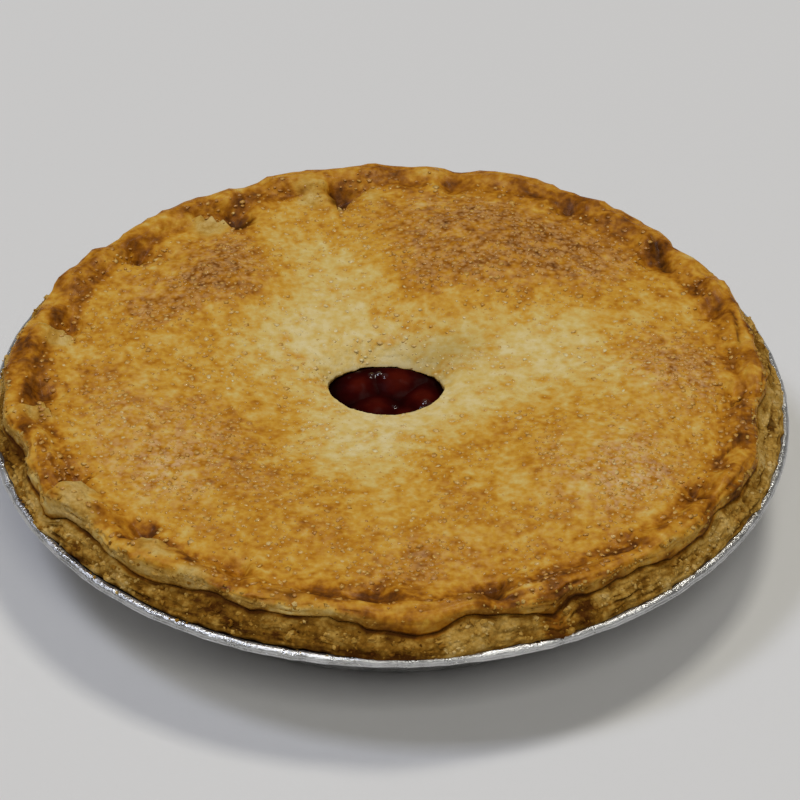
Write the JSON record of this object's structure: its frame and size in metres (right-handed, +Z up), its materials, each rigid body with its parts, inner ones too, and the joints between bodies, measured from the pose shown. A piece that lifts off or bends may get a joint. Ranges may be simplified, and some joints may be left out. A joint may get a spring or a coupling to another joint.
{
  "type": "cherry pie",
  "caption": "Round cherry pie in a foil pan: pastry lid with a pinched rim, a vent hole showing dark red filling, and coarse sugar on top.",
  "frame": {"origin": "middle of the foil pan's base, on the surface the pie stands on", "axes": "+Z up through the vent hole; -Y towards the side the picture is taken from"},
  "size_m": [0.23, 0.23, 0.0428],
  "materials": {
    "foil": "bright, lightly creased aluminium foil",
    "bottom_pastry": "crumbly pale to brown baked pastry, matt",
    "lid_pastry": "golden glazed pastry with browned hills, pale hollows and coarse sugar, satin",
    "cherry_filling": "very dark red cherries in glossy gelled juice"
  },
  "bodies": {
    "root": {"foil_pan": "foil", "bottom_crust": "bottom_pastry", "cherry_filling": "cherry_filling", "top_crust": "lid_pastry"}
  },
  "joints": []
}
